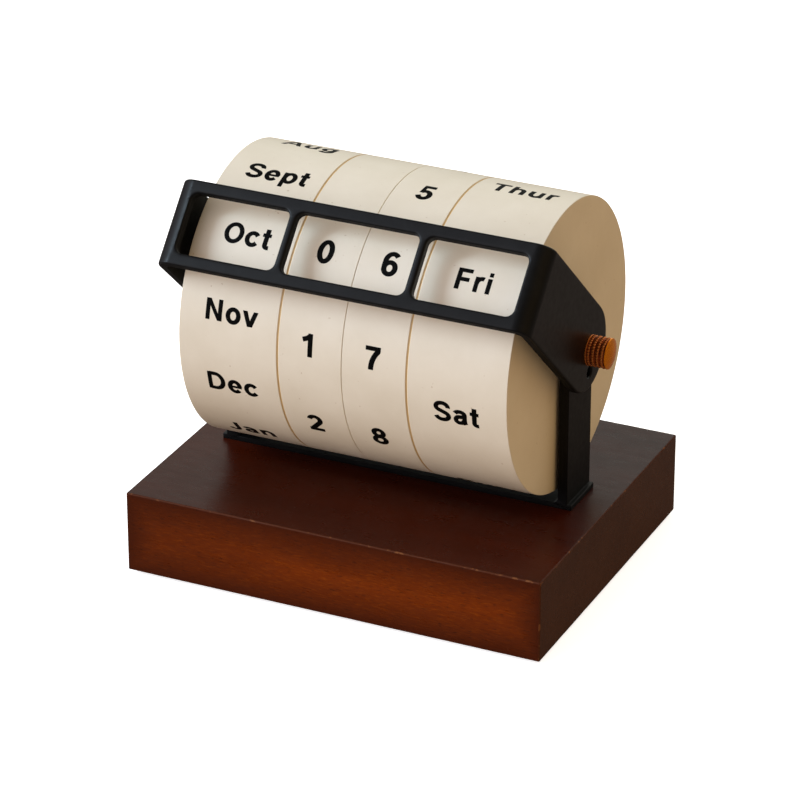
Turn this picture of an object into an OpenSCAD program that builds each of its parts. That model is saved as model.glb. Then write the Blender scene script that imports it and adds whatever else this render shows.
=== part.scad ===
// Perpetual desk calendar: four lettered drums on one axle, read through a
// tilted frame with three windows, on a bracket screwed to a wooden block.
// Millimetres. X runs along the axle, -Y is the reader's side and Z is up.
// The origin is the middle of the underside, on the surface that it stands on.

/* [Drums] */
// Diameter of every drum
drum_d = 80; // [70:1:100]
// Width of the month drum and of the weekday drum
wide_drum_w = 28; // [24:0.5:36]
// Width of the tens drum and of the units drum
narrow_drum_w = 18; // [15:0.5:24]
// Gap between two neighbouring drums
drum_gap = 0.5; // [0.4:0.1:1.5]
// Bevel around both edges of a drum
drum_bevel = 0.4; // [0.2:0.1:1]
// Outer diameter of the bush in the middle of a drum
bush_d = 12; // [9:0.5:16]

/* [Axle] */
// Diameter of the axle between the uprights
axle_d = 5; // [4.5:0.5:7]
// Diameter of the threaded studs at the axle's ends
stud_d = 4; // [3:0.5:4]
// Chamfer at the tip of each stud
stud_chamfer = 0.4; // [0.2:0.1:0.6]
// Outer diameter of the spacers between the drums
spacer_d = 16; // [13:1:24]
// Thickness of the thrust washers outside the end drums
thrust_t = 0.9; // [0.6:0.1:2]
// Outer diameter of the thrust washers
thrust_d = 12; // [9:1:14]

/* [Stand bracket] */
// Width of the bracket's flat bar
bar_w = 15.5; // [13:0.5:22]
// Thickness of the two uprights
upright_t = 2.75; // [2:0.25:5]
// Thickness of the foot strip
foot_t = 1.5; // [1.5:0.1:3]
// How far the foot strip stands out past each upright
foot_lip = 1.2; // [0:0.1:3]
// Radius of the fillets between the foot and the uprights
foot_fillet = 1.5; // [0.5:0.1:2.5]
// Gap between the foot strip and the drums above it
drum_lift = 2.7; // [2:0.1:10]

/* [Bracket screws] */
// Distance between the two screws
screw_span = 60; // [40:1:80]
// Diameter of a screw's shank
screw_d = 3; // [2.5:0.5:4]
// Length of a screw from the top of its head to its tip
screw_length = 16; // [12:1:18]
// Length of a screw's pointed tip
screw_tip = 3; // [2:0.5:4]
// Diameter of the blunt point at the end of the tip
screw_point_d = 0.3; // [0.2:0.1:0.8]
// Width of each arm of the cross recess
recess_w = 0.7; // [0.5:0.1:1]
// Length of each arm of the cross recess from end to end
recess_l = 2.6; // [2:0.1:3]
// Depth of the cross recess
recess_depth = 1; // [0.6:0.1:1.2]

/* [Window frame] */
// Angle of the line of sight through the windows above the horizontal
sight_angle = 42.5; // [35:0.5:50]
// Thickness of the frame's plate
frame_t = 2.5; // [1.5:0.1:3]
// Height of the frame along its own slope
frame_h = 24; // [22:0.5:28]
// Gap between the drums and the frame's inner face
window_gap = 4.4; // [2:0.1:8]
// Height of the bars above and below the windows
rail_h = 3.5; // [2:0.1:5]
// Width of the two bars between the windows
mullion_w = 2; // [1:0.1:3]
// Width of the frame beside the outer windows
end_border = 5.1; // [5:0.1:8]
// Radius of the windows' corners
window_r = 2.2; // [1:0.1:4]
// Inner radius of the bends between the front and the arms
bend_inner_r = 2; // [0.2:0.1:2.5]
// How far in front of the axle the round ends of the arms are centred
arm_end_front = 1; // [0:0.1:3]

/* [Locating pins] */
// Diameter of the two locating pins
pin_d = 3; // [2:0.1:3.5]
// Distance of the pins below the axle
pin_drop = 6.4; // [5.6:0.1:7.5]
// How far each pin's end lies inside the frame's outer face
pin_recess = 1.2; // [0.3:0.1:1.4]

/* [Thumb nuts] */
// Diameter of a thumb nut
nut_d = 8.6; // [8:0.1:12]
// Number of knurled bands on a thumb nut
nut_bands = 4; // [3:1:5]
// Width of each knurled band
nut_band_w = 0.95; // [0.7:0.05:1]
// Width of the groove after each band
nut_groove_w = 0.33; // [0.2:0.01:0.5]
// Depth of the grooves
nut_groove_depth = 0.35; // [0.2:0.05:0.6]
// Length of the plain end of a thumb nut, with its chamfer
nut_end = 1.1; // [1:0.1:2]
// Chamfer around the plain end
nut_chamfer = 0.7; // [0.3:0.1:0.9]
// Thickness of solid metal past the blind threaded hole
nut_floor = 1.8; // [1.2:0.1:2.4]
// Outer diameter of the washers under the thumb nuts
nut_washer_d = 8.4; // [8:0.1:12]
// Thickness of the washers under the thumb nuts
nut_washer_t = 0.4; // [0.3:0.1:1]

/* [Wooden base] */
// Height of the wooden block
base_h = 23.2; // [20:0.1:40]
// Length of the block past the outer face of each upright
base_side = 9.75; // [8:0.25:30]
// Depth of the block in front of the drums
base_front = 8; // [6:0.5:40]
// Depth of the block behind the drums
base_back = 6.5; // [4:0.5:40]
// Radius of the block's rounded edges
base_edge_r = 0.8; // [0.3:0.1:2]
// Thickness of the felt under the block
felt_t = 1; // [0.6:0.1:3]
// Distance of the felt's rim from the block's sides
felt_inset = 4; // [3:0.5:8]
// Radius of the felt's corners
felt_r = 5; // [2:0.5:10]

/* [Clearances] */
// Radial clearance of a bush or a washer on the axle
run_clear = 0.05; // [0.02:0.01:0.08]
// Radial clearance of pieces that are pressed, glued or screwed together
seat_clear = 0.02; // [0.01:0.01:0.05]
// Axial play on each side of a spacer or a thrust washer
side_play = 0.05; // [0.03:0.01:0.1]
// Gap between the tip of a stud and the end of its threaded hole
tip_gap = 0.2; // [0.1:0.05:0.5]

/* [Hidden] */
$fn = 96;
// A hair's breadth, by which shapes run into or through each other
eps = 0.01;
// How far a shape that cuts another runs past it
past = 1;

drum_r = drum_d / 2;
stack_half = wide_drum_w + narrow_drum_w + 1.5 * drum_gap;
units_x0 = drum_gap / 2;
weekday_x0 = units_x0 + narrow_drum_w + drum_gap;
upright_in = stack_half + thrust_t + 2 * side_play;
upright_out = upright_in + upright_t;
arm_out = upright_out + frame_t;

nut_pitch = nut_band_w + nut_groove_w;
nut_len = nut_bands * nut_pitch + nut_end;
nut_x0 = arm_out + nut_washer_t;
nut_hole = nut_len - nut_floor;
stud_end = nut_x0 + nut_hole - tip_gap;

base_w = 2 * (upright_out + base_side);
base_d = base_front + drum_d + base_back;
base_z0 = felt_t;
foot_z0 = base_z0 + base_h;
foot_z1 = foot_z0 + foot_t;
axle_y = (base_front - base_back) / 2;
axle_z = foot_z1 + drum_lift + drum_r;

frame_front = drum_r + window_gap + frame_t;
bend_r = bend_inner_r + frame_t;
opening_h = frame_h - 2 * rail_h;
mullion_x = weekday_x0 - drum_gap / 2;
middle_half = mullion_x - mullion_w / 2;
outer_x0 = mullion_x + mullion_w / 2;
outer_x1 = arm_out - end_border;

head_r = screw_d / 2 + foot_t;

// ---- shared shapes ----

// A rectangle about the origin with its four corners rounded.
module round_rect(w, h, r) {
    square([w - 2 * r, h], center = true);
    square([w, h - 2 * r], center = true);
    for (sx = [-1, 1], sy = [-1, 1])
        translate([sx * (w / 2 - r), sy * (h / 2 - r)])
            circle(r);
}

// A rectangle from y0 back to y1 with its two front corners rounded.
module round_front(w, y0, y1, r) {
    translate([-w / 2, y0 + r])
        square([w, y1 - y0 - r]);
    translate([-w / 2 + r, y0])
        square([w - 2 * r, r + eps]);
    for (sx = [-1, 1])
        translate([sx * (w / 2 - r), y0 + r])
            circle(r);
}

// Carries children drawn around the Z axis over to the axle, pointing to +X.
module on_axle(x = 0) {
    translate([x, axle_y, axle_z])
        rotate([0, 90, 0])
            children();
}

// Shows children on the +X side, or mirrors them over to the -X side.
module on_side(side) {
    if (side > 0)
        children();
    else
        mirror([1, 0, 0])
            children();
}

// A flat ring on the axle from x, with its bore clear of a shaft.
module ring(x, outer_d, thickness, shaft_d) {
    on_axle(x)
        difference() {
            cylinder(h = thickness, d = outer_d);
            translate([0, 0, -eps])
                cylinder(h = thickness + 2 * eps, d = shaft_d + 2 * run_clear);
        }
}

// ---- base ----

module base_block() {
    color("saddlebrown")
        difference() {
            translate([0, 0, base_z0 + base_h / 2])
                intersection() {
                    linear_extrude(base_h, center = true)
                        round_rect(base_w, base_d, base_edge_r);
                    rotate([90, 0, 0])
                        linear_extrude(base_d, center = true)
                            round_rect(base_w, base_h, base_edge_r);
                    rotate([0, 90, 0])
                        linear_extrude(base_w, center = true)
                            round_rect(base_h, base_d, base_edge_r);
                }
            at_screws()
                translate([0, 0, -screw_length - seat_clear])
                    cylinder(h = screw_length, d = screw_d + 2 * seat_clear);
        }
}

module base_felt() {
    color("darkslategray")
        linear_extrude(felt_t)
            round_rect(base_w - 2 * felt_inset, base_d - 2 * felt_inset, felt_r);
}

// ---- stand bracket ----

// Places children at both screws, on the top face of the foot strip.
module at_screws() {
    for (sx = [-1, 1])
        translate([sx * screw_span / 2, axle_y, foot_z1])
            children();
}

// The bracket seen from the front: foot strip, uprights and their fillets.
module bracket_front() {
    translate([-upright_out - foot_lip, foot_z0])
        square([2 * (upright_out + foot_lip), foot_t]);
    for (side = [-1, 1])
        on_side(side) {
            translate([upright_in, foot_z1 - eps])
                square([upright_t, axle_z + bar_w / 2 - foot_z1 + eps]);
            difference() {
                translate([upright_in - foot_fillet, foot_z1 - eps])
                    square([foot_fillet + eps, foot_fillet + eps]);
                translate([upright_in - foot_fillet, foot_z1 + foot_fillet])
                    circle(foot_fillet);
            }
        }
}

module stand_bracket() {
    color("dimgray")
        difference() {
            intersection() {
                translate([0, axle_y, 0])
                    rotate([90, 0, 0])
                        linear_extrude(bar_w, center = true)
                            bracket_front();
                union() {
                    on_axle(-upright_out - foot_lip - eps)
                        cylinder(h = 2 * (upright_out + foot_lip + eps), d = bar_w);
                    translate([0, axle_y, foot_z0 - eps + (axle_z - foot_z0) / 2])
                        cube([base_w, bar_w, axle_z - foot_z0 + 2 * eps], center = true);
                }
            }
            on_axle(-base_w / 2)
                cylinder(h = base_w, d = axle_d + 2 * run_clear);
            translate([0, 0, -pin_drop])
                on_axle(-base_w / 2)
                    cylinder(h = base_w, d = pin_d + 2 * seat_clear);
            at_screws() {
                translate([0, 0, -foot_t - eps])
                    cylinder(h = foot_t + 2 * eps, d = screw_d + 2 * seat_clear);
                translate([0, 0, -foot_t])
                    cylinder(h = foot_t + eps, r1 = screw_d / 2 + seat_clear,
                             r2 = head_r + seat_clear + eps);
            }
        }
}

module bracket_screws() {
    color("gray")
        at_screws()
            difference() {
                union() {
                    translate([0, 0, -foot_t])
                        cylinder(h = foot_t, r1 = screw_d / 2, r2 = head_r);
                    translate([0, 0, screw_tip - screw_length])
                        cylinder(h = screw_length - screw_tip - foot_t + eps, d = screw_d);
                    translate([0, 0, -screw_length])
                        cylinder(h = screw_tip, d1 = screw_point_d, d2 = screw_d);
                }
                for (turn = [0, 90])
                    rotate([0, 0, turn])
                        translate([-recess_l / 2, -recess_w / 2, -recess_depth])
                            cube([recess_l, recess_w, recess_depth + eps]);
            }
}

// ---- window frame ----

// Turns children about the axle so that their -Y side faces the reader.
module on_sight_line() {
    translate([0, axle_y, axle_z])
        rotate([-sight_angle, 0, 0])
            children();
}

// An opening through the frame's front between two places along X.
module window(x0, x1) {
    translate([(x0 + x1) / 2, -frame_front - eps, 0])
        rotate([-90, 0, 0])
            linear_extrude(frame_t + 2 * eps)
                round_rect(x1 - x0, opening_h, window_r);
}

// The outline of both arms, seen along the axle.
module arm_outline() {
    rotate([0, 90, 0])
        linear_extrude(2 * (arm_out + past), center = true) {
            translate([-frame_h / 2, -frame_front - past])
                square([frame_h, frame_front + past - arm_end_front]);
            translate([0, -arm_end_front])
                circle(frame_h / 2);
        }
}

module window_frame() {
    color([0.12, 0.12, 0.13])
        difference() {
            on_sight_line()
                difference() {
                    intersection() {
                        linear_extrude(frame_h, center = true)
                            difference() {
                                round_front(2 * arm_out, -frame_front, frame_h, bend_r);
                                round_front(2 * upright_out, -frame_front + frame_t,
                                            frame_h + eps, bend_inner_r);
                            }
                        arm_outline();
                    }
                    window(-middle_half, middle_half);
                    window(outer_x0, outer_x1);
                    window(-outer_x1, -outer_x0);
                }
            on_axle(-base_w / 2)
                cylinder(h = base_w, d = stud_d + 2 * run_clear);
            translate([0, 0, -pin_drop])
                on_axle(-base_w / 2)
                    cylinder(h = base_w, d = pin_d + 2 * run_clear);
        }
}

module locating_pin(side) {
    color("silver")
        on_side(side)
            translate([0, 0, -pin_drop])
                on_axle(upright_in)
                    cylinder(h = upright_t + frame_t - pin_recess, d = pin_d);
}

module locating_pin_left() {
    locating_pin(-1);
}

module locating_pin_right() {
    locating_pin(1);
}

// ---- axle, drums and what parts them ----

module axle() {
    color("silver") {
        on_axle(-upright_out)
            cylinder(h = 2 * upright_out, d = axle_d);
        for (side = [-1, 1])
            on_side(side) {
                on_axle(upright_out - eps)
                    cylinder(h = stud_end - stud_chamfer - upright_out + eps, d = stud_d);
                on_axle(stud_end - stud_chamfer)
                    cylinder(h = stud_chamfer, d1 = stud_d, d2 = stud_d - 2 * stud_chamfer);
            }
    }
}

// A drum of the given width whose left face is at x.
module drum(x, width) {
    color("antiquewhite")
        on_axle(x)
            rotate_extrude()
                polygon([
                    [bush_d / 2 + seat_clear, 0],
                    [drum_r - drum_bevel, 0],
                    [drum_r, drum_bevel],
                    [drum_r, width - drum_bevel],
                    [drum_r - drum_bevel, width],
                    [bush_d / 2 + seat_clear, width]
                ]);
}

module month_drum() {
    drum(-stack_half, wide_drum_w);
}

module tens_drum() {
    drum(-units_x0 - narrow_drum_w, narrow_drum_w);
}

module units_drum() {
    drum(units_x0, narrow_drum_w);
}

module weekday_drum() {
    drum(weekday_x0, wide_drum_w);
}

// The bush pressed into a drum, as long as the drum is wide.
module bush(x, width) {
    color("ivory")
        ring(x, bush_d, width, axle_d);
}

module month_bush() {
    bush(-stack_half, wide_drum_w);
}

module tens_bush() {
    bush(-units_x0 - narrow_drum_w, narrow_drum_w);
}

module units_bush() {
    bush(units_x0, narrow_drum_w);
}

module weekday_bush() {
    bush(weekday_x0, wide_drum_w);
}

// The spacer in the middle of the gap between two drums, centred on x.
module spacer(x) {
    thickness = drum_gap - 2 * side_play;
    color("white")
        ring(x - thickness / 2, spacer_d, thickness, axle_d);
}

module spacer_month_tens() {
    spacer(-mullion_x);
}

module spacer_tens_units() {
    spacer(0);
}

module spacer_units_weekday() {
    spacer(mullion_x);
}

module thrust_washer(side) {
    color("lightgray")
        on_side(side)
            ring(stack_half + side_play, thrust_d, thrust_t, axle_d);
}

module thrust_washer_left() {
    thrust_washer(-1);
}

module thrust_washer_right() {
    thrust_washer(1);
}

// ---- thumb nuts ----

module nut_washer(side) {
    color("darkgoldenrod")
        on_side(side)
            ring(arm_out, nut_washer_d, nut_washer_t, stud_d);
}

module nut_washer_left() {
    nut_washer(-1);
}

module nut_washer_right() {
    nut_washer(1);
}

module thumb_nut(side) {
    color("goldenrod")
        on_side(side)
            on_axle(nut_x0)
                difference() {
                    union() {
                        cylinder(h = nut_len - nut_chamfer, d = nut_d);
                        translate([0, 0, nut_len - nut_chamfer])
                            cylinder(h = nut_chamfer, r1 = nut_d / 2,
                                     r2 = nut_d / 2 - nut_chamfer);
                    }
                    for (i = [0 : nut_bands - 1])
                        translate([0, 0, i * nut_pitch + nut_band_w])
                            difference() {
                                cylinder(h = nut_groove_w, d = nut_d + 2 * past);
                                cylinder(h = nut_groove_w, d = nut_d - 2 * nut_groove_depth);
                            }
                    translate([0, 0, -eps])
                        cylinder(h = nut_hole + eps, d = stud_d + 2 * run_clear);
                }
}

module thumb_nut_left() {
    thumb_nut(-1);
}

module thumb_nut_right() {
    thumb_nut(1);
}

base_block();
base_felt();
stand_bracket();
bracket_screws();
window_frame();
locating_pin_left();
locating_pin_right();
axle();
month_drum();
tens_drum();
units_drum();
weekday_drum();
month_bush();
tens_bush();
units_bush();
weekday_bush();
spacer_month_tens();
spacer_tens_units();
spacer_units_weekday();
thrust_washer_left();
thrust_washer_right();
nut_washer_left();
nut_washer_right();
thumb_nut_left();
thumb_nut_right();
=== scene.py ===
"""Perpetual desk calendar: the finished look of every piece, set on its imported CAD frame.

Lengths are millimetres in the CAD part's own frame and become metres as a mesh is handed over.
X runs along the axle, -Y is the reader's side, and Z is up.
"""

import math

import bmesh
import bpy
from mathutils import Matrix, Vector, noise
from mathutils.geometry import delaunay_2d_cdt


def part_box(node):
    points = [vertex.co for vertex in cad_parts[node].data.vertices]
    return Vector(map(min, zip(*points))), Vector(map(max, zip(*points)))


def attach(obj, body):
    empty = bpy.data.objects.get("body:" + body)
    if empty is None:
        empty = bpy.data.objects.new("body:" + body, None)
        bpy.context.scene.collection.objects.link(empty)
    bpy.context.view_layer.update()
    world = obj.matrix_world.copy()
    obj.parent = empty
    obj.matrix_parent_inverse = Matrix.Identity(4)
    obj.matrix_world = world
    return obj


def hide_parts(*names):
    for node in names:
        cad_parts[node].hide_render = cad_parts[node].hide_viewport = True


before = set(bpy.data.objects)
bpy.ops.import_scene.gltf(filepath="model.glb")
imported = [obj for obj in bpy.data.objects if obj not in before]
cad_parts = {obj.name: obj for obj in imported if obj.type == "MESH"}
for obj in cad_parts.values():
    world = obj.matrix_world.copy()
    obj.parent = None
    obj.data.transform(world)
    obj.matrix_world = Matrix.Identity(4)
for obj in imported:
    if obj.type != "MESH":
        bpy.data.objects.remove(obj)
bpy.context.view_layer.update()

MM = 0.001
TURN = 2 * math.pi


def mm_box(node):
    """The lowest and highest corner of a CAD node, in millimetres."""
    low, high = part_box(node)
    return low / MM, high / MM


# ---- sizes, read from the frame where it has them ----

BLOCK_LOW, BLOCK_HIGH = mm_box("base_block")
FRAME_HIGH = mm_box("window_frame")[1]
FRAME_T = 2.5
UPRIGHT_OUT = FRAME_HIGH.x - FRAME_T
NUT_LOW, NUT_HIGH = mm_box("thumb_nut_right")
KNURL_LENGTH = 5.12
KNURL_END = NUT_LOW.x + KNURL_LENGTH
STUD_END = mm_box("axle")[1].x
DRUM_LOW, DRUM_HIGH = mm_box("month_drum")
DRUM_R = (DRUM_HIGH.z - DRUM_LOW.z) / 2
AXLE_Y = (DRUM_HIGH.y + DRUM_LOW.y) / 2
AXLE_Z = (DRUM_HIGH.z + DRUM_LOW.z) / 2

# ---- building meshes ----

WELD = 1e-5
SHARP_ANGLE = math.radians(50)


def add_piece(name, bm, materials, body, replaced=()):
    """Hands a mesh over as a piece that rides on a CAD body and stands for the replaced nodes."""
    bmesh.ops.remove_doubles(bm, verts=bm.verts, dist=WELD)
    bmesh.ops.recalc_face_normals(bm, faces=bm.faces)
    bm.transform(Matrix.Scale(MM, 4))
    mesh = bpy.data.meshes.new(name)
    bm.to_mesh(mesh)
    bm.free()
    for material in materials:
        mesh.materials.append(material)
    mesh.shade_smooth()
    mesh.set_sharp_from_angle(angle=SHARP_ANGLE)
    piece = bpy.data.objects.new(name, mesh)
    bpy.context.scene.collection.objects.link(piece)
    piece.modifiers.new("even_shading", "WEIGHTED_NORMAL").keep_sharp = True
    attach(piece, body)
    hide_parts(*replaced)
    return piece


def dress_node(node, material, edge=0.0):
    """Gives a CAD node its finish and, where edge isn't 0, slightly rounded edges."""
    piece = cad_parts[node]
    piece.data.materials.clear()
    piece.data.materials.append(material)
    if edge:
        weld = piece.modifiers.new("joined_faces", "WELD")
        weld.merge_threshold = WELD * MM
        bevel = piece.modifiers.new("soft_edges", "BEVEL")
        bevel.width = edge * MM
        bevel.segments = 2
        bevel.limit_method = "ANGLE"
        bevel.angle_limit = math.radians(40)
        piece.modifiers.new("even_shading", "WEIGHTED_NORMAL")


def arc(cx, cy, rx, ry, start, end, steps=24):
    """Points along an elliptic arc from one angle to another, in degrees."""
    points = []
    for k in range(steps + 1):
        angle = math.radians(start + (end - start) * k / steps)
        points.append(Vector((cx + rx * math.cos(angle), cy + ry * math.sin(angle))))
    return points


def circle(cx, cy, radius, steps=48):
    """Points round a circle, anticlockwise."""
    return arc(cx, cy, radius, radius, 0, 360, steps)[:-1]


def round_rect(x0, x1, y0, y1, radius, steps=8):
    """Points round a rectangle with round corners, anticlockwise."""
    corners = (
        (x1 - radius, y1 - radius, 0),
        (x0 + radius, y1 - radius, 90),
        (x0 + radius, y0 + radius, 180),
        (x1 - radius, y0 + radius, 270),
    )
    points = []
    for cx, cy, start in corners:
        points += arc(cx, cy, radius, radius, start, start + 90, steps)
    return points


def inset(loop, distance):
    """A closed loop with each point moved to its left by distance, and its corners mitred."""
    moved = []
    for i, here in enumerate(loop):
        before = (here - loop[i - 1]).normalized()
        after = (loop[(i + 1) % len(loop)] - here).normalized()
        along = (before + after).normalized()
        left = Vector((-along.y, along.x))
        moved.append(here + left * distance / left.dot(Vector((-after.y, after.x))))
    return moved


def round_over(depth, low_r, high_r, steps=3):
    """(inset, height) levels of a wall of the given depth, with its low and high edges rounded."""
    low, high = [], []
    for k in range(steps + 1):
        angle = math.radians(90 * k / steps)
        back, rise = 1 - math.sin(angle), 1 - math.cos(angle)
        low.append((low_r * back, low_r * rise))
        high.append((high_r * back, depth - high_r * rise))
    return low + high[::-1]


def plate(outline, holes, thickness, low_r, high_r):
    """A flat plate on z from 0 to its thickness, with rounded edges. Outlines run anticlockwise."""
    bm = bmesh.new()
    rims = ([], [])
    for loop in [outline] + [hole[::-1] for hole in holes]:
        rings = []
        for back, height in round_over(thickness, low_r, high_r):
            rings.append([bm.verts.new((*point, height)) for point in inset(loop, back)])
        for low, high in zip(rings, rings[1:]):
            for i in range(len(loop)):
                bm.faces.new((low[i - 1], low[i], high[i], high[i - 1]))
        for rim, ring in zip(rims, (rings[0], rings[-1])):
            rim += [bm.edges.get((ring[i - 1], ring[i])) for i in range(len(ring))]
    for rim in rims:
        bmesh.ops.triangle_fill(bm, edges=rim, use_beauty=True)
    return bm


def cut_across(bm, axis, cuts):
    """Cuts a mesh's faces along planes across an axis, so that it can bend or dent there."""
    normal = Vector((0, 0, 0))
    normal[axis] = 1
    for cut in cuts:
        everything = bm.verts[:] + bm.edges[:] + bm.faces[:]
        bmesh.ops.bisect_plane(bm, geom=everything, plane_co=normal * cut, plane_no=normal)


def round_axle(x, radius, angle):
    """The point at a radius from the axle's line, at an angle up from the reader's side."""
    return (x, AXLE_Y - radius * math.cos(angle), AXLE_Z + radius * math.sin(angle))


def turned(stations, segments, radius=lambda station, angle: station[1], closed=False):
    """A skin round the axle's line through rings at stations, which are (x, radius, ...)."""
    bm = bmesh.new()
    rings = []
    for station in stations:
        ring = []
        for k in range(segments):
            angle = TURN * k / segments
            ring.append(bm.verts.new(round_axle(station[0], radius(station, angle), angle)))
        rings.append(ring)
    if closed:
        rings.append(rings[0])
    for low, high in zip(rings, rings[1:]):
        for k in range(segments):
            bm.faces.new((low[k - 1], low[k], high[k], high[k - 1]))
    return bm


# ---- materials ----

MIX_FACTOR, MIX_A, MIX_B, MIX_COLOUR = 0, 6, 7, 2


def shade(tree, kind, inputs=(), output=0, **settings):
    """Adds a shader node with these inputs and settings, and returns one of its outputs."""
    made = tree.nodes.new("ShaderNode" + kind)
    for setting, value in settings.items():
        setattr(made, setting, value)
    for socket, value in dict(inputs).items():
        connect(tree, value, made.inputs[socket])
    return made.outputs[output]


def connect(tree, value, socket):
    """Links another node's output to a socket, or sets the socket to a plain value."""
    if isinstance(value, bpy.types.NodeSocket):
        tree.links.new(value, socket)
    else:
        socket.default_value = value


def new_material(name):
    """An empty material and its node tree."""
    material = bpy.data.materials.new(name)
    material.use_nodes = True
    return material, material.node_tree


def surface(tree, **inputs):
    """Sets the Principled shader's sockets, named with underscores for spaces."""
    shader = tree.nodes["Principled BSDF"]
    for name, value in inputs.items():
        connect(tree, value, shader.inputs[name.replace("_", " ")])


def place(tree, scale=(1, 1, 1)):
    """Object coordinates in metres, scaled along each axis."""
    where = shade(tree, "TexCoord", output="Object")
    return shade(tree, "Mapping", {"Vector": where, "Scale": scale})


def grain(tree, vector, size, detail=2.0, roughness=0.5):
    """Noise with features of about the given size in millimetres."""
    inputs = {"Vector": vector, "Scale": 1 / (size * MM), "Detail": detail, "Roughness": roughness}
    return shade(tree, "TexNoise", inputs)


def math_node(tree, operation, a, b=0.0):
    """One arithmetic step between two values."""
    return shade(tree, "Math", {0: a, 1: b}, operation=operation)


def remap(tree, value, low, high, to_low=0.0, to_high=1.0):
    """Carries a value from one range over to another, and holds it there."""
    inputs = {"Value": value, "From Min": low, "From Max": high, "To Min": to_low, "To Max": to_high}
    return shade(tree, "MapRange", inputs)


def blend(tree, factor, a, b):
    """Colour a where the factor is 0 and colour b where it is 1."""
    return shade(tree, "Mix", {MIX_FACTOR: factor, MIX_A: a, MIX_B: b}, MIX_COLOUR, data_type="RGBA")


def bump(tree, height, depth, strength=1.0):
    """A surface normal from a height of 0 to 1 that is worth a depth in millimetres."""
    return shade(tree, "Bump", {"Height": height, "Distance": depth * MM, "Strength": strength})


def from_axle(tree):
    """The distance from the axle's line, in metres."""
    shifted = shade(tree, "Mapping", {
        "Vector": place(tree),
        "Location": (0, -AXLE_Y * MM, -AXLE_Z * MM),
        "Scale": (0, 1, 1),
    })
    return shade(tree, "VectorMath", {0: shifted}, "Value", operation="LENGTH")


# The outer seams, which get a painted golden glow standing in for light bounced between the drums, lie
# between these distances from the middle of the axle.
GOLDEN_FROM = 6
GOLDEN_TO = 30
SOFT_STEP = 1

# The cream paint begins this far below the rim, and is whole this far below it.
CREAM_FROM = 0.17
CREAM_WHOLE = 0.10


def drum_paint():
    """Cream satin paint, warmer on the drums' sides, painted with a golden glow of bounced light in two
    seams, and tiny brown specks.
    """
    material, tree = new_material("drum_paint")
    here = place(tree)
    mottle = remap(tree, grain(tree, here, 18, 4.0, 0.6), 0.3, 0.7)
    cream = blend(tree, mottle, (0.72, 0.655, 0.53, 1), (0.78, 0.72, 0.60, 1))
    ochre = blend(tree, mottle, (0.73, 0.63, 0.47, 1), (0.79, 0.69, 0.53, 1))
    along = shade(tree, "SeparateXYZ", {"Vector": here}, "X")
    off = math_node(tree, "ABSOLUTE", along)
    outer = remap(tree, off, GOLDEN_TO * MM, (GOLDEN_TO + SOFT_STEP) * MM)
    middle = remap(tree, off, (GOLDEN_FROM - SOFT_STEP) * MM, GOLDEN_FROM * MM, 1.0, 0.0)
    plain = math_node(tree, "MAXIMUM", outer, middle)
    # Painted glow: golden colour in the outer seams stands in for light bounced between the drums'
    # walls.
    ochre = blend(tree, plain, (0.70, 0.49, 0.23, 1), ochre)
    rim = remap(tree, from_axle(tree), (DRUM_R - CREAM_FROM) * MM, (DRUM_R - CREAM_WHOLE) * MM)
    cream = blend(tree, rim, ochre, cream)
    specks = remap(tree, grain(tree, here, 1.1, 1.0), 0.76, 0.82, 0.0, 0.45)
    paint = blend(tree, specks, cream, (0.42, 0.30, 0.17, 1))
    gloss = remap(tree, grain(tree, here, 6, 3.0), 0.3, 0.7, 0.38, 0.48)
    peel = bump(tree, grain(tree, here, 0.7, 2.0), 0.006)
    surface(tree, Base_Color=paint, Roughness=gloss, Normal=peel)
    return material


def print_ink():
    """Black screen-printed ink."""
    material, tree = new_material("print_ink")
    cover = grain(tree, place(tree), 0.5, 3.0)
    black = blend(tree, cover, (0.001, 0.001, 0.001, 1), (0.003, 0.0028, 0.0025, 1))
    surface(tree, Base_Color=black, Roughness=remap(tree, cover, 0.3, 0.7, 0.45, 0.6),
            Specular_IOR_Level=0.04)
    return material


def black_paint(name, colour, worn, roughness, sheen, front=None):
    """Black enamel with a fine orange peel. Given a front, what faces neither it nor outward is matt."""
    material, tree = new_material(name)
    here = place(tree)
    rub = remap(tree, grain(tree, here, 7, 5.0, 0.65), 0.45, 0.75)
    gloss = remap(tree, grain(tree, here, 1.5, 4.0), 0.3, 0.7, roughness - 0.04, roughness + 0.05)
    if front:
        inputs = {0: shade(tree, "TexCoord", output="Normal"), 1: front}
        facing = shade(tree, "VectorMath", inputs, "Value", operation="DOT_PRODUCT")
        across = shade(tree, "SeparateXYZ", {"Vector": inputs[0]}, "X")
        along = shade(tree, "SeparateXYZ", {"Vector": here}, "X")
        outward = math_node(tree, "MULTIPLY", across, along)
        outward = math_node(tree, "DIVIDE", outward, FRAME_HIGH.x * MM)
        facing = math_node(tree, "MAXIMUM", facing, outward)
        matt = remap(tree, facing, 0.02, 0.3, 0.42, 0.0)
        gloss = math_node(tree, "ADD", gloss, matt)
    peel = bump(tree, grain(tree, here, 1.6, 1.0), 0.004)
    surface(tree, Base_Color=blend(tree, rub, colour, worn), Roughness=gloss, Normal=peel,
            Specular_IOR_Level=sheen)
    return material


# How far from the axle's line the knurling's painted root shade is darkest and lightest.
KNURL_ROOT_R = 3.85
KNURL_TIP_R = 4.12


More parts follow.
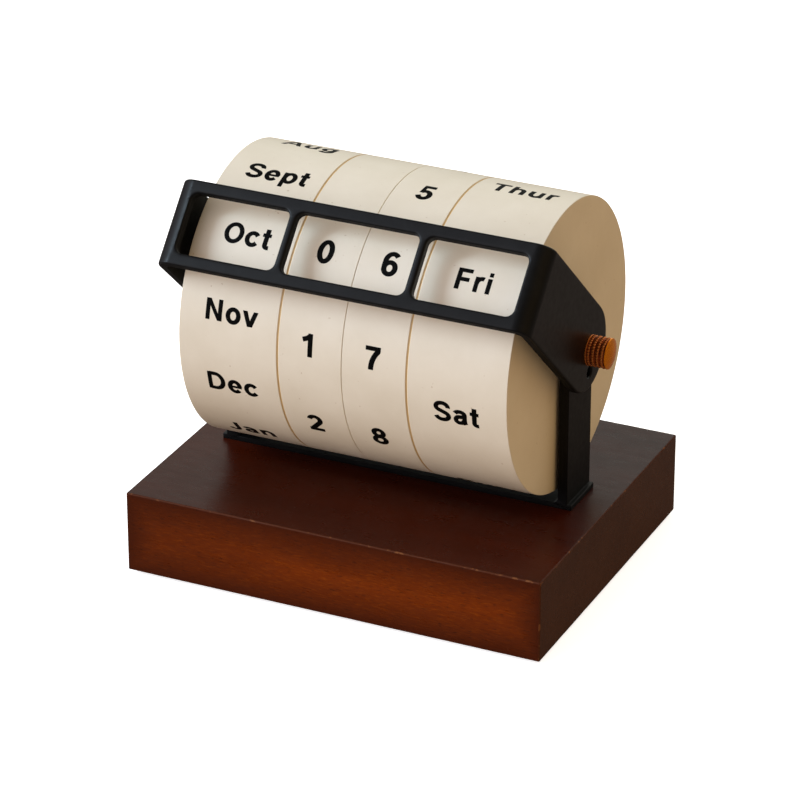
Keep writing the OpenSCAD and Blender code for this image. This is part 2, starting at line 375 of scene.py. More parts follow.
def lacquered_brass():
    """Golden brass, its knurling red-brown with painted shade that makes it darkest in the roots."""
    material, tree = new_material("lacquered_brass")
    root_shade_mask = remap(tree, from_axle(tree), KNURL_ROOT_R * MM, KNURL_TIP_R * MM)
    along = math_node(tree, "ABSOLUTE", shade(tree, "SeparateXYZ", {"Vector": place(tree)}, "X"))
    smooth = remap(tree, along, KNURL_END * MM, (KNURL_END + 0.1) * MM)
    # Painted shade: the knurling's red-brown darkens towards the roots, standing in for the shade in its
    # hollows.
    tarnish_and_root_shade = blend(tree, root_shade_mask, (0.22, 0.035, 0.014, 1), (0.72, 0.25, 0.065, 1))
    tarnish_and_root_shade = blend(tree, smooth, tarnish_and_root_shade, (1.0, 0.33, 0.01, 1))
    stain = remap(tree, grain(tree, place(tree), 1.2, 3.0), 0.35, 0.75)
    tone = blend(tree, math_node(tree, "MULTIPLY", stain, 0.5), tarnish_and_root_shade, (0.65, 0.15, 0.01, 1))
    gloss = remap(tree, stain, 0.0, 1.0, 0.20, 0.32)
    surface(tree, Base_Color=tone, Metallic=0.75, Roughness=gloss, Specular_IOR_Level=0.2)
    return material


def zinc_steel():
    """Bright zinc-plated steel with fine turning marks."""
    material, tree = new_material("zinc_steel")
    lines = grain(tree, place(tree, (40, 1, 1)), 3, 3.0)
    tone = blend(tree, lines, (0.42, 0.42, 0.41, 1), (0.62, 0.62, 0.60, 1))
    gloss = remap(tree, lines, 0.3, 0.7, 0.25, 0.4)
    surface(tree, Base_Color=tone, Metallic=1.0, Roughness=gloss, Normal=bump(tree, lines, 0.004))
    return material


def white_nylon():
    """Moulded white nylon."""
    material, tree = new_material("white_nylon")
    cloud = grain(tree, place(tree), 2, 3.0)
    tone = blend(tree, cloud, (0.70, 0.69, 0.65, 1), (0.80, 0.79, 0.75, 1))
    surface(tree, Base_Color=tone, Roughness=0.45, Normal=bump(tree, cloud, 0.01))
    return material


def felt():
    """Short-haired black felt."""
    material, tree = new_material("felt")
    fibres = grain(tree, place(tree), 0.35, 5.0, 0.75)
    tone = blend(tree, fibres, (0.006, 0.006, 0.007, 1), (0.05, 0.05, 0.052, 1))
    surface(tree, Base_Color=tone, Roughness=0.95, Normal=bump(tree, fibres, 0.25))
    return material


def edge_distance(tree):
    """How far a point of the block lies from its nearest edge, in metres."""
    middle = (BLOCK_LOW + BLOCK_HIGH) / 2 * MM
    half = (BLOCK_HIGH - BLOCK_LOW) / 2 * MM
    where = shade(tree, "TexCoord", output="Object")
    gaps = []
    for axis, letter in enumerate("XYZ"):
        along = shade(tree, "SeparateXYZ", {"Vector": where}, letter)
        off = math_node(tree, "ABSOLUTE", math_node(tree, "SUBTRACT", along, middle[axis]))
        gaps.append(math_node(tree, "SUBTRACT", half[axis], off))
    low = math_node(tree, "MINIMUM", gaps[0], gaps[1])
    high = math_node(tree, "MAXIMUM", gaps[0], gaps[1])
    return math_node(tree, "MAXIMUM", low, math_node(tree, "MINIMUM", high, gaps[2]))


def stained_wood():
    """Stained hardwood under satin lacquer: its grain along X, its top painted darker as shade, and its
    ends dull.
    """
    material, tree = new_material("stained_wood")
    bands = grain(tree, place(tree, (0.2, 1, 1)), 14, 3.0, 0.55)
    fibres = grain(tree, place(tree, (0.12, 1, 1)), 0.4, 4.0, 0.75)
    figure = remap(tree, bands, 0.32, 0.68)
    inner = remap(tree, edge_distance(tree), 0.0, 11 * MM)
    glow = math_node(tree, "MULTIPLY", inner, remap(tree, bands, 0.3, 0.6, 0.4, 1.0))
    side = blend(tree, glow, (0.050, 0.0075, 0.0012, 1), (0.155, 0.023, 0.0006, 1))
    flecks = math_node(tree, "MULTIPLY", remap(tree, fibres, 0.5, 0.8), glow)
    side = blend(tree, flecks, side, (0.27, 0.055, 0.002, 1))
    end = blend(tree, figure, (0.050, 0.014, 0.004, 1), (0.062, 0.019, 0.006, 1))
    # Painted shade: the top is coloured far darker than the sides, as if less light fell on it.
    shaded_top = blend(tree, figure, (0.030, 0.0036, 0.0006, 1), (0.048, 0.0062, 0.0010, 1))
    faces = shade(tree, "TexCoord", output="Normal")
    top_shade_mask = shade(tree, "SeparateXYZ", {"Vector": faces}, "Z")
    endward = math_node(tree, "ABSOLUTE", shade(tree, "SeparateXYZ", {"Vector": faces}, "X"))
    stain = blend(tree, remap(tree, top_shade_mask, 0.55, 0.9), side, shaded_top)
    stain = blend(tree, remap(tree, endward, 0.55, 0.9), stain, end)
    pores = remap(tree, grain(tree, place(tree, (0.1, 1, 1)), 0.22, 3.0), 0.6, 0.7)
    stain = blend(tree, math_node(tree, "MULTIPLY", pores, 0.6), stain, (0.018, 0.004, 0.001, 1))
    chips = remap(tree, grain(tree, place(tree), 2.2, 3.0), 0.60, 0.66)
    edge = remap(tree, edge_distance(tree), 0.15 * MM, 0.45 * MM, 1.0, 0.0)
    stain = blend(tree, math_node(tree, "MULTIPLY", chips, edge), stain, (0.26, 0.10, 0.03, 1))
    stain = blend(tree, math_node(tree, "MULTIPLY", edge, 0.5), stain, (0.11, 0.028, 0.004, 1))
    gloss = remap(tree, grain(tree, place(tree, (0.3, 1, 1)), 2, 3.0), 0.3, 0.7, 0.26, 0.36)
    gloss = math_node(tree, "ADD", gloss, math_node(tree, "MULTIPLY", edge, 0.35))
    relief = math_node(tree, "SUBTRACT", fibres, math_node(tree, "MULTIPLY", pores, 0.5))
    surface(tree, Base_Color=stain, Roughness=gloss, Normal=bump(tree, relief, 0.02),
            Specular_IOR_Level=0.16)
    return material


# ---- wooden base ----

BLOCK_EDGE_R = 0.4
BLOCK_CUT = 2.0
DENT_DEPTH = 0.10

# How fine the block's dents are, and how strong the noise has to be for one.
WIDE_DENTS = (0.22, 0.05)
FINE_DENTS = (0.7, 0.3)


def dent_at(spot):
    """How deep the block's edge is dented at a spot, from 0 to 1."""
    return min(1.0, sum(max(0.0, noise.noise(spot * fine) - least)
                        for fine, least in (WIDE_DENTS, FINE_DENTS)))


def base_block(material):
    """The block, its edges rounded and a little dented by use."""
    bm = bmesh.new()
    bmesh.ops.create_cube(bm, size=1)
    bmesh.ops.scale(bm, vec=BLOCK_HIGH - BLOCK_LOW, verts=bm.verts)
    bmesh.ops.translate(bm, vec=(BLOCK_LOW + BLOCK_HIGH) / 2, verts=bm.verts)
    bmesh.ops.bevel(bm, geom=bm.edges[:], offset=BLOCK_EDGE_R, segments=5, profile=0.5,
                    affect="EDGES")
    for axis in (0, 1):
        count = round((BLOCK_HIGH[axis] - BLOCK_LOW[axis]) / BLOCK_CUT)
        cut_across(bm, axis, [BLOCK_LOW[axis] + BLOCK_CUT * k for k in range(1, count)])
    for vert in bm.verts:
        gaps = sorted(min(vert.co[a] - BLOCK_LOW[a], BLOCK_HIGH[a] - vert.co[a]) for a in range(3))
        edge = max(0.0, 1 - gaps[1] / BLOCK_EDGE_R)
        dent = dent_at(vert.co)
        inward = (BLOCK_LOW + BLOCK_HIGH) / 2 - vert.co
        for axis in range(3):
            inward[axis] = math.copysign(1, inward[axis]) * (gaps[1] >= min(
                vert.co[axis] - BLOCK_LOW[axis], BLOCK_HIGH[axis] - vert.co[axis]))
        vert.co += inward * DENT_DEPTH * edge * dent
    add_piece("wooden_block", bm, [material], "stand", ["base_block"])


# ---- window frame ----

SIGHT_ANGLE = math.radians(42.5)
SIGHT_OUT = Vector((0, -math.cos(SIGHT_ANGLE), math.sin(SIGHT_ANGLE)))
SIGHT_UP = Vector((0, math.sin(SIGHT_ANGLE), math.cos(SIGHT_ANGLE)))
FRAME_HALF_H = 12.0
WINDOW_GAP = 4.4
FRAME_FRONT = DRUM_R + WINDOW_GAP + FRAME_T
BEND_R = 2.0
BEND_NEUTRAL = BEND_R + FRAME_T / 2
BEND_CUTS = 10
ARM_END = 1.0
INNER_EDGE_R = 0.2
FRONT_EDGE_R = 0.6
WINDOW_HALF_H = 8.5
WINDOW_R = 2.2
MIDDLE_HALF = 17.5
SIDE_WINDOW = (19.5, 47.9)
AXLE_HOLE_R = 2.05
PIN_HOLE_R = 1.55
PIN_DROP = 6.4


def frame_lengths():
    """Where the front ends, where an arm begins and where the axle lies, along the flat strip."""
    front = FRAME_HIGH.x - FRAME_T - BEND_R
    arm = front + BEND_NEUTRAL * math.pi / 2
    axle = arm + FRAME_FRONT - FRAME_T - BEND_R
    return front, arm, axle


def bent(point):
    """Carries a point of the flat strip round the frame's bends to its place on the stand."""
    front, arm, _ = frame_lengths()
    along = abs(point.x)
    radius = BEND_R + point.z
    angle = min(max((along - front) / BEND_NEUTRAL, 0.0), math.pi / 2)
    across = min(along, front) + radius * math.sin(angle)
    out = FRAME_FRONT - FRAME_T - BEND_R + radius * math.cos(angle) - max(along - arm, 0.0)
    x = math.copysign(across, point.x)
    return Vector((x, AXLE_Y, AXLE_Z)) + SIGHT_OUT * out + SIGHT_UP * point.y


def window_frame(material):
    """One strip of plate with three windows, bent round to the axle at both ends."""
    front, arm, axle = frame_lengths()
    end = axle - ARM_END
    outline = arc(end, 0, FRAME_HALF_H, FRAME_HALF_H, -90, 90, 36)
    outline += arc(-end, 0, FRAME_HALF_H, FRAME_HALF_H, 90, 270, 36)
    holes = [round_rect(-MIDDLE_HALF, MIDDLE_HALF, -WINDOW_HALF_H, WINDOW_HALF_H, WINDOW_R)]
    for side in (-1, 1):
        ends = sorted(side * x for x in SIDE_WINDOW)
        holes.append(round_rect(*ends, -WINDOW_HALF_H, WINDOW_HALF_H, WINDOW_R))
        holes.append(circle(side * axle, 0, AXLE_HOLE_R))
        pin = axle + PIN_DROP * math.sin(SIGHT_ANGLE)
        holes.append(circle(side * pin, -PIN_DROP * math.cos(SIGHT_ANGLE), PIN_HOLE_R, 24))
    bm = plate(outline, holes, FRAME_T, INNER_EDGE_R, FRONT_EDGE_R)
    cuts = [front + (arm - front) * k / BEND_CUTS for k in range(BEND_CUTS + 1)]
    cut_across(bm, 0, cuts + [-cut for cut in cuts])
    for vert in bm.verts:
        vert.co = bent(vert.co)
    add_piece("bent_window_frame", bm, [material], "stand", ["window_frame"])


# ---- drums ----

DRUM_SEGMENTS = 240
DRUM_BORE_R = 6.02
DRUM_EDGE_R = 0.18
SPACER_CLEAR_R = 9.0
CLEAR_SLOPE = 0.5
GROOVE_DEPTH = 0.2

# How far a drum's rim, and its side within the rim, stand out beyond the CAD drum at each kind of end.
SEAM_LIPS = {"open": 0.0, "close": 0.2, "outer": 0.55, "plain": 0.0}
SEAM_RELIEFS = {"open": 0.2, "close": 0.2, "outer": 0.55, "plain": 0.0}


def drum(name, node, body, material, seams):
    """A turned drum, with the kind of its left and right end."""
    low, high = mm_box(node)
    lips = [SEAM_LIPS[seam] for seam in seams]
    reliefs = [SEAM_RELIEFS[seam] for seam in seams]
    left, right = low.x - lips[0], high.x + lips[1]
    ledge = DRUM_R - GROOVE_DEPTH
    stations = [
        (low.x, DRUM_BORE_R),
        (low.x, SPACER_CLEAR_R),
        (low.x - reliefs[0], SPACER_CLEAR_R + CLEAR_SLOPE),
        (low.x - reliefs[0], ledge),
    ]
    for back, along in round_over(right - left, DRUM_EDGE_R, DRUM_EDGE_R):
        stations.append((left + along, DRUM_R - back))
    stations += [
        (high.x + reliefs[1], ledge),
        (high.x + reliefs[1], SPACER_CLEAR_R + CLEAR_SLOPE),
        (high.x, SPACER_CLEAR_R),
        (high.x, DRUM_BORE_R),
    ]
    bm = turned(stations, DRUM_SEGMENTS, closed=True)
    add_piece(name, bm, [material], body, [node])


# ---- lettering ----

STEM = 0.232
BAR = 0.20
BOLD = 0.012
INK_OUT = 0.02
INK_IN = 0.04
INK_STEP = 0.8
TRACKING = 0.05


def box(x0, y0, x1, y1):
    """A straight stem or bar, made a little bolder across its length."""
    if y1 - y0 > x1 - x0:
        x0, x1 = x0 - BOLD, x1 + BOLD
    else:
        y0, y1 = y0 - BOLD, y1 + BOLD
    return [[Vector((x0, y0)), Vector((x1, y0)), Vector((x1, y1)), Vector((x0, y1))]]


def slant(x0, y0, x1, y1, width=STEM):
    """A leaning stroke with level ends, its middle from the first point up to the second."""
    half = width / 2
    return [[Vector((x0 - half, y0)), Vector((x0 + half, y0)),
             Vector((x1 + half, y1)), Vector((x1 - half, y1))]]


def stroke(points, stem=STEM, bar=BAR):
    """A stroke along a line of points, thicker where it runs upright than where it runs level."""
    rails = []
    for i, point in enumerate(points):
        along = (points[min(i + 1, len(points) - 1)] - points[max(i - 1, 0)]).normalized()
        half = math.hypot(stem / 2 * along.y, bar / 2 * along.x)
        off = Vector((-along.y, along.x)) * half
        rails.append((point + off, point - off))
    return [[a[1], b[1], b[0], a[0]] for a, b in zip(rails, rails[1:])]


def bowl(cx, cy, rx, ry):
    """A closed round stroke, its last step laid over its first so that the ring has no gap."""
    return stroke(arc(cx, cy, rx, ry, 0, 369, 41))


def line(*points):
    """Plain points of a stroke."""
    return [Vector(point) for point in points]


def half_turn(shapes, width):
    """Shapes turned upside down within a letter's width."""
    return [[Vector((width - p.x, 1 - p.y)) for p in shape] for shape in shapes]


SIX = bowl(0.39, 0.31, 0.24, 0.25) + stroke(
    arc(0.415, 0.62, 0.27, 0.3175, 40, 180) + line((0.145, 0.35)))

# Each letter's advance and strokes, as shares of the height of a capital.
GLYPHS = {
    "A": (1.009, slant(0.108, 0, 0.49, 1, 0.21) + slant(0.901, 0, 0.519, 1, 0.21)
          + box(0.22, 0.225, 0.79, 0.385)),
    "D": (1.009, box(0.10, 0, 0.295, 1) + stroke(
        line((0.2, 0.9175)) + arc(0.47, 0.5, 0.385, 0.4175, 90, -90) + line((0.2, 0.0825)))),
    "F": (0.853, box(0.10, 0, 0.30, 1) + box(0.10, 0.835, 0.79, 1) + box(0.10, 0.41, 0.72, 0.575)),
    "J": (0.776, stroke(line((0.555, 1)) + arc(0.335, 0.32, 0.22, 0.2545, 0, -165))),
    "M": (1.164, box(0.10, 0, 0.285, 1) + box(0.88, 0, 1.065, 1)
          + slant(0.5625, 0, 0.265, 1) + slant(0.6025, 0, 0.90, 1)),
    "N": (1.009, box(0.10, 0, 0.29, 1) + box(0.715, 0, 0.905, 1)
          + slant(0.7975, 0, 0.2075, 1, 0.215)),
    "O": (1.01, bowl(0.505, 0.5, 0.37, 0.42)),
    "S": (0.932, stroke(arc(0.455, 0.735, 0.29, 0.1995, -8, 250)
                        + arc(0.47, 0.27, 0.305, 0.2045, 70, -172))),
    "T": (0.853, box(0.03, 0.83, 0.82, 1) + box(0.325, 0, 0.525, 1)),
    "W": (1.318, slant(0.36, 0, 0.107, 1) + slant(0.36, 0, 0.66, 1)
          + slant(0.955, 0, 0.66, 1) + slant(0.955, 0, 1.21, 1)),
    "a": (0.776, stroke(arc(0.335, 0.50, 0.235, 0.145, 165, 0)
                        + line((0.57, 0.17), (0.585, 0.08), (0.62, 0)))
          + stroke(line((0.58, 0.43), (0.42, 0.385)) + arc(0.32, 0.215, 0.175, 0.16, 90, 270)
                   + arc(0.34, 0.28, 0.23, 0.225, 270, 340))),
    "b": (0.853, box(0.09, 0, 0.28, 1) + bowl(0.445, 0.362, 0.25, 0.3015)),
    "c": (0.80, stroke(arc(0.415, 0.362, 0.265, 0.29, 35, 325))),
    "d": (0.853, box(0.573, 0, 0.763, 1) + bowl(0.408, 0.362, 0.25, 0.3015)),
    "e": (0.776, stroke(arc(0.39, 0.362, 0.25, 0.3015, 0, 322)) + box(0.15, 0.30, 0.73, 0.41)),
    "g": (0.853, bowl(0.408, 0.372, 0.25, 0.2915) + box(0.573, 0.0, 0.763, 0.724)
          + stroke(line((0.668, 0.05)) + arc(0.40, -0.02, 0.268, 0.195, 0, -160))),
    "h": (0.853, box(0.09, 0, 0.28, 1) + stroke(arc(0.427, 0.42, 0.242, 0.2435, 180, 0)
                                               + line((0.669, 0)))),
    "i": (0.388, box(0.098, 0, 0.29, 0.724) + box(0.098, 0.82, 0.29, 1)),
    "l": (0.388, box(0.098, 0, 0.29, 1)),
    "n": (0.853, box(0.09, 0, 0.28, 0.724) + stroke(arc(0.427, 0.42, 0.242, 0.2435, 180, 0)
                                                   + line((0.669, 0)))),
    "o": (0.84, bowl(0.42, 0.362, 0.265, 0.3015)),
    "p": (0.853, box(0.09, -0.288, 0.28, 0.724) + bowl(0.445, 0.362, 0.25, 0.3015)),
    "r": (0.543, box(0.09, 0, 0.28, 0.724) + stroke(arc(0.425, 0.41, 0.24, 0.2475, 180, 70))),
    "s": (0.776, stroke(arc(0.37, 0.53, 0.225, 0.12, -5, 250)
                        + arc(0.385, 0.20, 0.24, 0.14, 70, -172))),
    "t": (0.465, box(0.01, 0.575, 0.44, 0.724) + stroke(
        line((0.225, 0.95), (0.225, 0.19)) + arc(0.36, 0.175, 0.135, 0.115, 180, 275)
        + line((0.44, 0.068)))),
    "u": (0.853, box(0.573, 0, 0.763, 0.724) + stroke(
        line((0.184, 0.724)) + arc(0.425, 0.30, 0.241, 0.24, 180, 360))),
    "v": (0.776, slant(0.375, 0, 0.11, 0.724) + slant(0.401, 0, 0.664, 0.724)),
    "y": (0.776, slant(0.40, 0, 0.112, 0.724) + slant(0.345, -0.13, 0.665, 0.724)
          + stroke(line((0.352, -0.11), (0.30, -0.185), (0.21, -0.212), (0.09, -0.205)))),
    "0": (0.776, bowl(0.385, 0.5, 0.25, 0.42)),
    "1": (0.776, box(0.37, 0, 0.56, 1) + stroke(line((0.50, 0.94), (0.33, 0.80), (0.12, 0.72)))),
    "2": (0.776, stroke(arc(0.38, 0.715, 0.235, 0.2225, 170, -40) + line((0.17, 0.13)))
          + box(0.035, 0, 0.70, 0.175)),
    "3": (0.776, stroke(arc(0.365, 0.745, 0.21, 0.1925, 160, -80))
          + stroke(arc(0.37, 0.285, 0.235, 0.2275, 85, -165))),
    "4": (0.776, box(0.44, 0, 0.63, 1) + box(0.02, 0.205, 0.745, 0.37)
          + slant(0.10, 0.33, 0.53, 1, 0.17)),
    "5": (0.776, box(0.17, 0.82, 0.69, 0.985) + slant(0.19, 0.44, 0.255, 0.985, 0.17)
          + stroke(arc(0.365, 0.315, 0.24, 0.2525, 135, -165))),
    "6": (0.776, SIX),
    "7": (0.776, box(0.045, 0.825, 0.715, 0.985) + stroke(arc(1.05, 0, 0.74, 1.0, 180, 125))
          + [line((0.60, 0.76), (0.70, 0.74), (0.715, 0.83), (0.60, 0.83))]),
    "8": (0.776, bowl(0.385, 0.74, 0.205, 0.1975) + bowl(0.385, 0.275, 0.24, 0.2125)),
    "9": (0.776, half_turn(SIX, 0.776)),
}


def letter_faces(bm, shapes, origin, height):
    """Joins one letter's strokes into flat faces, at an origin and a height in millimetres."""
    points = [point for shape in shapes for point in shape]
    corners = iter(range(len(points)))
    polygons = [[next(corners) for _ in shape] for shape in shapes]
    spots, _, triangles, _, _, sources = delaunay_2d_cdt(points, [], polygons, 1, 1e-7)
    verts = [bm.verts.new((origin.x + p.x * height, origin.y + p.y * height, 0)) for p in spots]
    for triangle, source in zip(triangles, sources):
        if source:
            bm.faces.new([verts[i] for i in triangle])


def word_width(word):
    """A word's width as a share of the height of a capital."""
    return sum(GLYPHS[letter][0] for letter in word) + TRACKING * (len(word) - 1)


def print_words(name, body, material, words, middle, height):
    """Prints words round a drum. Each word has the angle at which its middle lies."""
    bm = bmesh.new()
    for angle, word in words:
        pen = Vector((middle - word_width(word) * height / 2, angle * DRUM_R - height / 2))
        for letter in word:
            letter_faces(bm, GLYPHS[letter][1], pen, height)
            pen.x += (GLYPHS[letter][0] + TRACKING) * height
    bmesh.ops.dissolve_limit(bm, angle_limit=0.001, verts=bm.verts, edges=bm.edges)
    lines = [v.co.y for v in bm.verts]
    count = int((max(lines) - min(lines)) / INK_STEP)
    cut_across(bm, 1, [min(lines) + INK_STEP * (k + 0.5) for k in range(count)])
    bmesh.ops.triangulate(bm, faces=bm.faces)
    raised = bmesh.ops.extrude_face_region(bm, geom=bm.faces[:], use_keep_orig=True)["geom"]
    for vert in [g for g in raised if isinstance(g, bmesh.types.BMVert)]:
        vert.co.z = INK_OUT + INK_IN
    for vert in bm.verts:
        radius = DRUM_R - INK_IN + vert.co.z
        vert.co = round_axle(vert.co.x, radius, vert.co.y / DRUM_R)
    add_piece(name, bm, [material], body)


def spaced(words, pitch, first):
    """Pairs words with their angles, the first at its own angle and each next one a pitch lower."""
    return [(math.radians(first - pitch * k), word) for k, word in enumerate(words)]


# ---- thumb nuts and axle ----

NUT_R = 4.2
NUT_BORE_R = 2.05
NUT_BANDS = 4
NUT_BAND_W = 0.95
NUT_PITCH = 1.28
NUT_GROOVE = 0.38
NUT_SHOULDER = 0.12
NUT_DOME = 0.8
NUT_RIM = 0.15
DOME_STEPS = 10
NUT_FLOOR = 1.8
DRILL_POINT = 0.5
BORE_CHAMFER = 0.25
BAND_ROUND = 0.30
BAND_CORNER = 0.06
CORNER_DROP = 0.20
CORNER_STUD = 0.3
STUDS = 33
STUD_DEPTH = 0.24
STUD_STEPS = 8
VALLEY_POWER = 0.7


def nut_stations():
    """(x, radius, depth of the studs, turn of the studs) from the nut's inner face to its last band."""
    stations = []
    for band in range(NUT_BANDS):
        start = band * NUT_PITCH
        turn = math.pi * (band % 2)
        root_shade_mask = NUT_R - NUT_GROOVE
        stations += [
            (start, root_shade_mask, 0, turn),
            (start + BAND_CORNER, NUT_R - CORNER_DROP, STUD_DEPTH * CORNER_STUD, turn),
            (start + BAND_ROUND, NUT_R, STUD_DEPTH, turn),
            (start + NUT_BAND_W - BAND_ROUND, NUT_R, STUD_DEPTH, turn),
            (start + NUT_BAND_W - BAND_CORNER, NUT_R - CORNER_DROP, STUD_DEPTH * CORNER_STUD, turn),
            (start + NUT_BAND_W, root_shade_mask, 0, turn),
        ]
    return stations


def nut_radius(station, angle):
    """The nut's radius at a station, lower between the studs."""
    valley = (1 - math.cos(STUDS * angle + station[3])) / 2
    return station[1] - station[2] * valley ** VALLEY_POWER


def thumb_nut(side, material):
    """A knurled nut with a smooth, slightly domed end and a blind bore."""
    name = "left" if side < 0 else "right"
    length = NUT_HIGH.x - NUT_LOW.x
    floor = length - NUT_FLOOR
    stations = [
        (floor + DRILL_POINT, 0, 0, 0),
        (floor, NUT_BORE_R, 0, 0),
        (BORE_CHAMFER, NUT_BORE_R, 0, 0),
        (0, NUT_BORE_R + BORE_CHAMFER, 0, 0),
    ]
    stations += nut_stations()
    stations += [
        (KNURL_LENGTH, NUT_R - NUT_GROOVE, 0, 0),
        (KNURL_LENGTH, NUT_R - NUT_SHOULDER, 0, 0),
        (KNURL_LENGTH + NUT_SHOULDER, NUT_R, 0, 0),
        (length - NUT_DOME - NUT_RIM, NUT_R, 0, 0),
        (length - NUT_DOME - NUT_RIM * 0.4, NUT_R - NUT_RIM * 0.25, 0, 0),
    ]
    for k in range(DOME_STEPS + 1):
        share = 1 - k / DOME_STEPS
        stations.append((length - NUT_DOME * share ** 2, (NUT_R - NUT_RIM) * share, 0, 0))
    placed = [(side * (NUT_LOW.x + station[0]), *station[1:]) for station in stations]
    bm = turned(placed, STUDS * STUD_STEPS, nut_radius)
    node = "thumb_nut_" + name
    add_piece("knurled_nut_" + name, bm, [material], name + "_nut", [node])


AXLE_R = 2.5
STUD_R = 2.0
THREAD_PITCH = 0.7
THREAD_DEPTH = 0.38
THREAD_STEPS = 8
THREAD_START = 0.3
THREAD_RUN_IN = 0.5
THREAD_SLOPE = 2.4
AXLE_CHAMFER = 0.15
AXLE_SEGMENTS = 48
TIP = 0.4


def axle_radius(station, angle):
    """The axle's radius: plain between the uprights and threaded on the studs."""
    x, radius = station
    beyond = abs(x) - UPRIGHT_OUT
    if beyond < THREAD_START:
        return radius
    phase = (x / THREAD_PITCH - angle / TURN) % 1
    ridge = min(1.0, THREAD_SLOPE * abs(phase - 0.5))
    share = min(1.0, (beyond - THREAD_START) / THREAD_RUN_IN)
    return max(0.0, radius - THREAD_DEPTH * (1 - ridge) * share)


def threaded_axle(material):
    """The steel axle with a fine thread on both of its studs."""
    threaded = STUD_END - TIP - UPRIGHT_OUT
    count = round(threaded / THREAD_PITCH * THREAD_STEPS)
    half = [
        (0, AXLE_R),
        (UPRIGHT_OUT - AXLE_CHAMFER, AXLE_R),
        (UPRIGHT_OUT, AXLE_R - AXLE_CHAMFER),
        (UPRIGHT_OUT, STUD_R),
    ]
    for k in range(count + 1):
        half.append((UPRIGHT_OUT + threaded * k / count, STUD_R))
    half += [(STUD_END, STUD_R - TIP), (STUD_END, 0)]
    stations = [(-x, radius) for x, radius in half[:0:-1]] + half
    bm = turned(stations, AXLE_SEGMENTS, axle_radius)
    add_piece("threaded_axle", bm, [material], "stand", ["axle"])


# ---- camera, light and floor ----

AZIMUTH = math.radians(24.95)
ELEVATION = math.radians(26.03)
CAMERA_DISTANCE = 1.1461
CAMERA_LENS = 188.77
AIM_RIGHT = -0.001339
AIM_UP = 0.037964
AIM_FLOOR = 0.001


def look_along(back):
    """A turn for a camera or light whose back points along a direction, with its right side level."""
    back = back.normalized()
    right = Vector((0, 0, 1)).cross(back).normalized()
    return Matrix((right, back.cross(right), back)).transposed()


def add_camera():
    """The camera, at the angle and distance from which the calendar is seen."""
    back = Vector((
        math.sin(AZIMUTH) * math.cos(ELEVATION),
        -math.cos(AZIMUTH) * math.cos(ELEVATION),
        math.sin(ELEVATION),
    ))
    turn = look_along(back)
    aim = turn.col[0] * AIM_RIGHT + turn.col[1] * AIM_UP + Vector((0, 0, AIM_FLOOR))
    camera = bpy.data.objects.new("camera", bpy.data.cameras.new("camera"))
    camera.data.lens = CAMERA_LENS
    camera.matrix_world = Matrix.Translation(aim + back * CAMERA_DISTANCE) @ turn.to_4x4()
    bpy.context.scene.collection.objects.link(camera)
    bpy.context.scene.camera = camera
    bpy.context.scene.view_settings.view_transform = "Standard"


WINDOW_TOWARD = (-0.73, -0.46, 0.51)
WINDOW_AWAY = 1.3
WINDOW_AIM = (0, 0, 0.06)
WINDOW_WIDTH = 0.09
WINDOW_HEIGHT = 0.7
WINDOW_WATTS = 8.6


def add_window_light():
    """A tall soft window in front of the calendar and to the reader's left."""
    light = bpy.data.lights.new("window_light", "AREA")
    light.shape = "RECTANGLE"
    light.size = WINDOW_WIDTH
    light.size_y = WINDOW_HEIGHT
    light.energy = WINDOW_WATTS
    light.color = (0.62, 0.83, 1.0)
    lamp = bpy.data.objects.new("window_light", light)
    toward = Vector(WINDOW_TOWARD).normalized()
    spot = Vector(WINDOW_AIM) + toward * WINDOW_AWAY
    lamp.matrix_world = Matrix.Translation(spot) @ look_along(toward).to_4x4()
    bpy.context.scene.collection.objects.link(lamp)


# Each soft light's direction, how narrow it is, and its colour.
ROOM_LIGHTS = (
    ((-0.75, -0.6, 0.3), 4, (3.35, 3.15, 3.3)),
    ((0, 0.9, 0.4), 4, (1.8, 1.85, 1.7)),
    ((0.8, 0, 0.6), 4, (0.80, 0.54, 0.26)),
)

# How strongly the room shows in shiny surfaces, as a share of the light it gives.
ROOM_MIRRORED = 0.7


def light_room():
    """Soft light from all round: strong from the front left, weaker from behind, warm from the right."""
    world = bpy.data.worlds.new("room")
    world.use_nodes = True
    tree = world.node_tree
    toward = shade(tree, "TexCoord", output="Generated")
    total = (0, 0, 0)
    for axis, narrow, colour in ROOM_LIGHTS:
        inputs = {0: toward, 1: Vector(axis).normalized()}
        facing = shade(tree, "VectorMath", inputs, "Value", operation="DOT_PRODUCT")
        share = math_node(tree, "POWER", math_node(tree, "MAXIMUM", facing), narrow)
        glow = shade(tree, "VectorMath", {0: colour, "Scale": share}, operation="SCALE")
        total = shade(tree, "VectorMath", {0: total, 1: glow}, operation="ADD")
    mirrored = shade(tree, "LightPath", output="Is Glossy Ray")
    background = tree.nodes["Background"]
    connect(tree, total, background.inputs["Color"])
    connect(tree, remap(tree, mirrored, 0, 1, 1.0, ROOM_MIRRORED), background.inputs["Strength"])
    bpy.context.scene.world = world


FLOOR_DROP = 0.1
FLOOR_RADIUS = 4


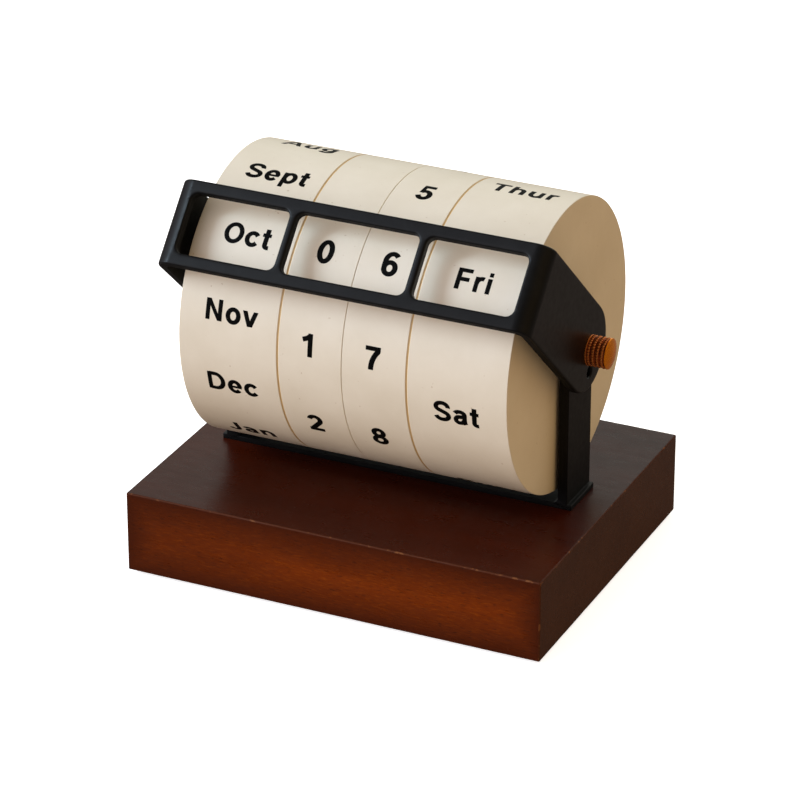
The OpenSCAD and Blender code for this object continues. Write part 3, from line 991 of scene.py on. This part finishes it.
def add_floor():
    """A plain white table just under the felt. It lights the calendar warmly and is mirrored dimly."""
    material, tree = new_material("floor")
    seen = shade(tree, "LightPath", output="Is Camera Ray")
    mirrored = shade(tree, "LightPath", output="Is Glossy Ray")
    tone = blend(tree, seen, (0.15, 0.13, 0.12, 1), (0.93, 0.93, 0.93, 1))
    glow = blend(tree, mirrored, (0.405, 0.275, 0.15, 1), (0.06, 0.045, 0.035, 1))
    glow = blend(tree, seen, glow, (0.75, 0.75, 0.75, 1))
    surface(tree, Base_Color=tone, Roughness=1.0, Specular_IOR_Level=0.0,
            Emission_Color=glow, Emission_Strength=1.0)
    bm = bmesh.new()
    bmesh.ops.create_circle(bm, cap_ends=True, segments=96, radius=FLOOR_RADIUS)
    mesh = bpy.data.meshes.new("floor")
    bm.to_mesh(mesh)
    bm.free()
    mesh.materials.append(material)
    floor = bpy.data.objects.new("floor", mesh)
    floor.location.z = -FLOOR_DROP * MM
    bpy.context.scene.collection.objects.link(floor)


# ---- the whole calendar ----

MONTHS = "Jan Feb Mar Apr May June July Aug Sept Oct Nov Dec".split()
WEEKDAYS = "Sun Mon Tues Wed Thur Fri Sat".split()
WORD_HEIGHT = 5.75
DIGIT_HEIGHT = 6.4

# The middles of the printed columns along X.
MONTH_X = -32.4
TENS_X = -9.6
UNITS_X = 8.85
WEEKDAY_X = 32.4

# How far above the reader's side the middle of the word in each window lies, in degrees.
MONTH_SIGHT = 44.9
DIGIT_SIGHT = 44.3
WEEKDAY_SIGHT = 43.9


def build_drums():
    """The four drums with their months, digits and weekdays."""
    paint = drum_paint()
    ink = print_ink()
    drum("month_wheel", "month_drum", "month_wheel", paint, ("outer", "open"))
    drum("tens_wheel", "tens_drum", "tens_wheel", paint, ("open", "close"))
    drum("units_wheel", "units_drum", "units_wheel", paint, ("close", "open"))
    drum("weekday_wheel", "weekday_drum", "weekday_wheel", paint, ("open", "plain"))
    month, digit, day = 360 / len(MONTHS), 360 / 10, 360 / len(WEEKDAYS)
    months = spaced(MONTHS, month, MONTH_SIGHT + month * MONTHS.index("Oct"))
    tens = spaced("0123", digit, DIGIT_SIGHT)
    units = spaced("0123456789", digit, DIGIT_SIGHT + digit * 6)
    weekdays = spaced(WEEKDAYS, day, WEEKDAY_SIGHT + day * WEEKDAYS.index("Fri"))
    print_words("month_print", "month_wheel", ink, months, MONTH_X, WORD_HEIGHT)
    print_words("tens_print", "tens_wheel", ink, tens, TENS_X, DIGIT_HEIGHT)
    print_words("units_print", "units_wheel", ink, units, UNITS_X, DIGIT_HEIGHT)
    print_words("weekday_print", "weekday_wheel", ink, weekdays, WEEKDAY_X, WORD_HEIGHT)


def build_stand():
    """Base, bracket, window frame and what is fixed to them."""
    base_block(stained_wood())
    dress_node("base_felt", felt())
    window_frame(black_paint(
        "frame_enamel", (0.004, 0.0044, 0.005, 1), (0.007, 0.0075, 0.008, 1), 0.33, 0.155, SIGHT_OUT))
    dress_node("stand_bracket", black_paint(
        "bracket_enamel", (0.003, 0.003, 0.003, 1), (0.006, 0.006, 0.006, 1), 0.38, 0.12), 0.15)
    steel = zinc_steel()
    threaded_axle(steel)
    for node in ("bracket_screws", "locating_pin_left", "locating_pin_right"):
        dress_node(node, steel, 0.1)


def build_hardware():
    """Thumb nuts, washers, bushes and spacers."""
    brass = lacquered_brass()
    nylon = white_nylon()
    for side, name in ((-1, "left"), (1, "right")):
        thumb_nut(side, brass)
        dress_node("nut_washer_" + name, brass, 0.08)
        dress_node("thrust_washer_" + name, nylon, 0.08)
    for name in ("month", "tens", "units", "weekday"):
        dress_node(name + "_bush", nylon)
    for name in ("month_tens", "tens_units", "units_weekday"):
        dress_node("spacer_" + name, nylon)


add_camera()
add_window_light()
light_room()
add_floor()
build_stand()
build_drums()
build_hardware()
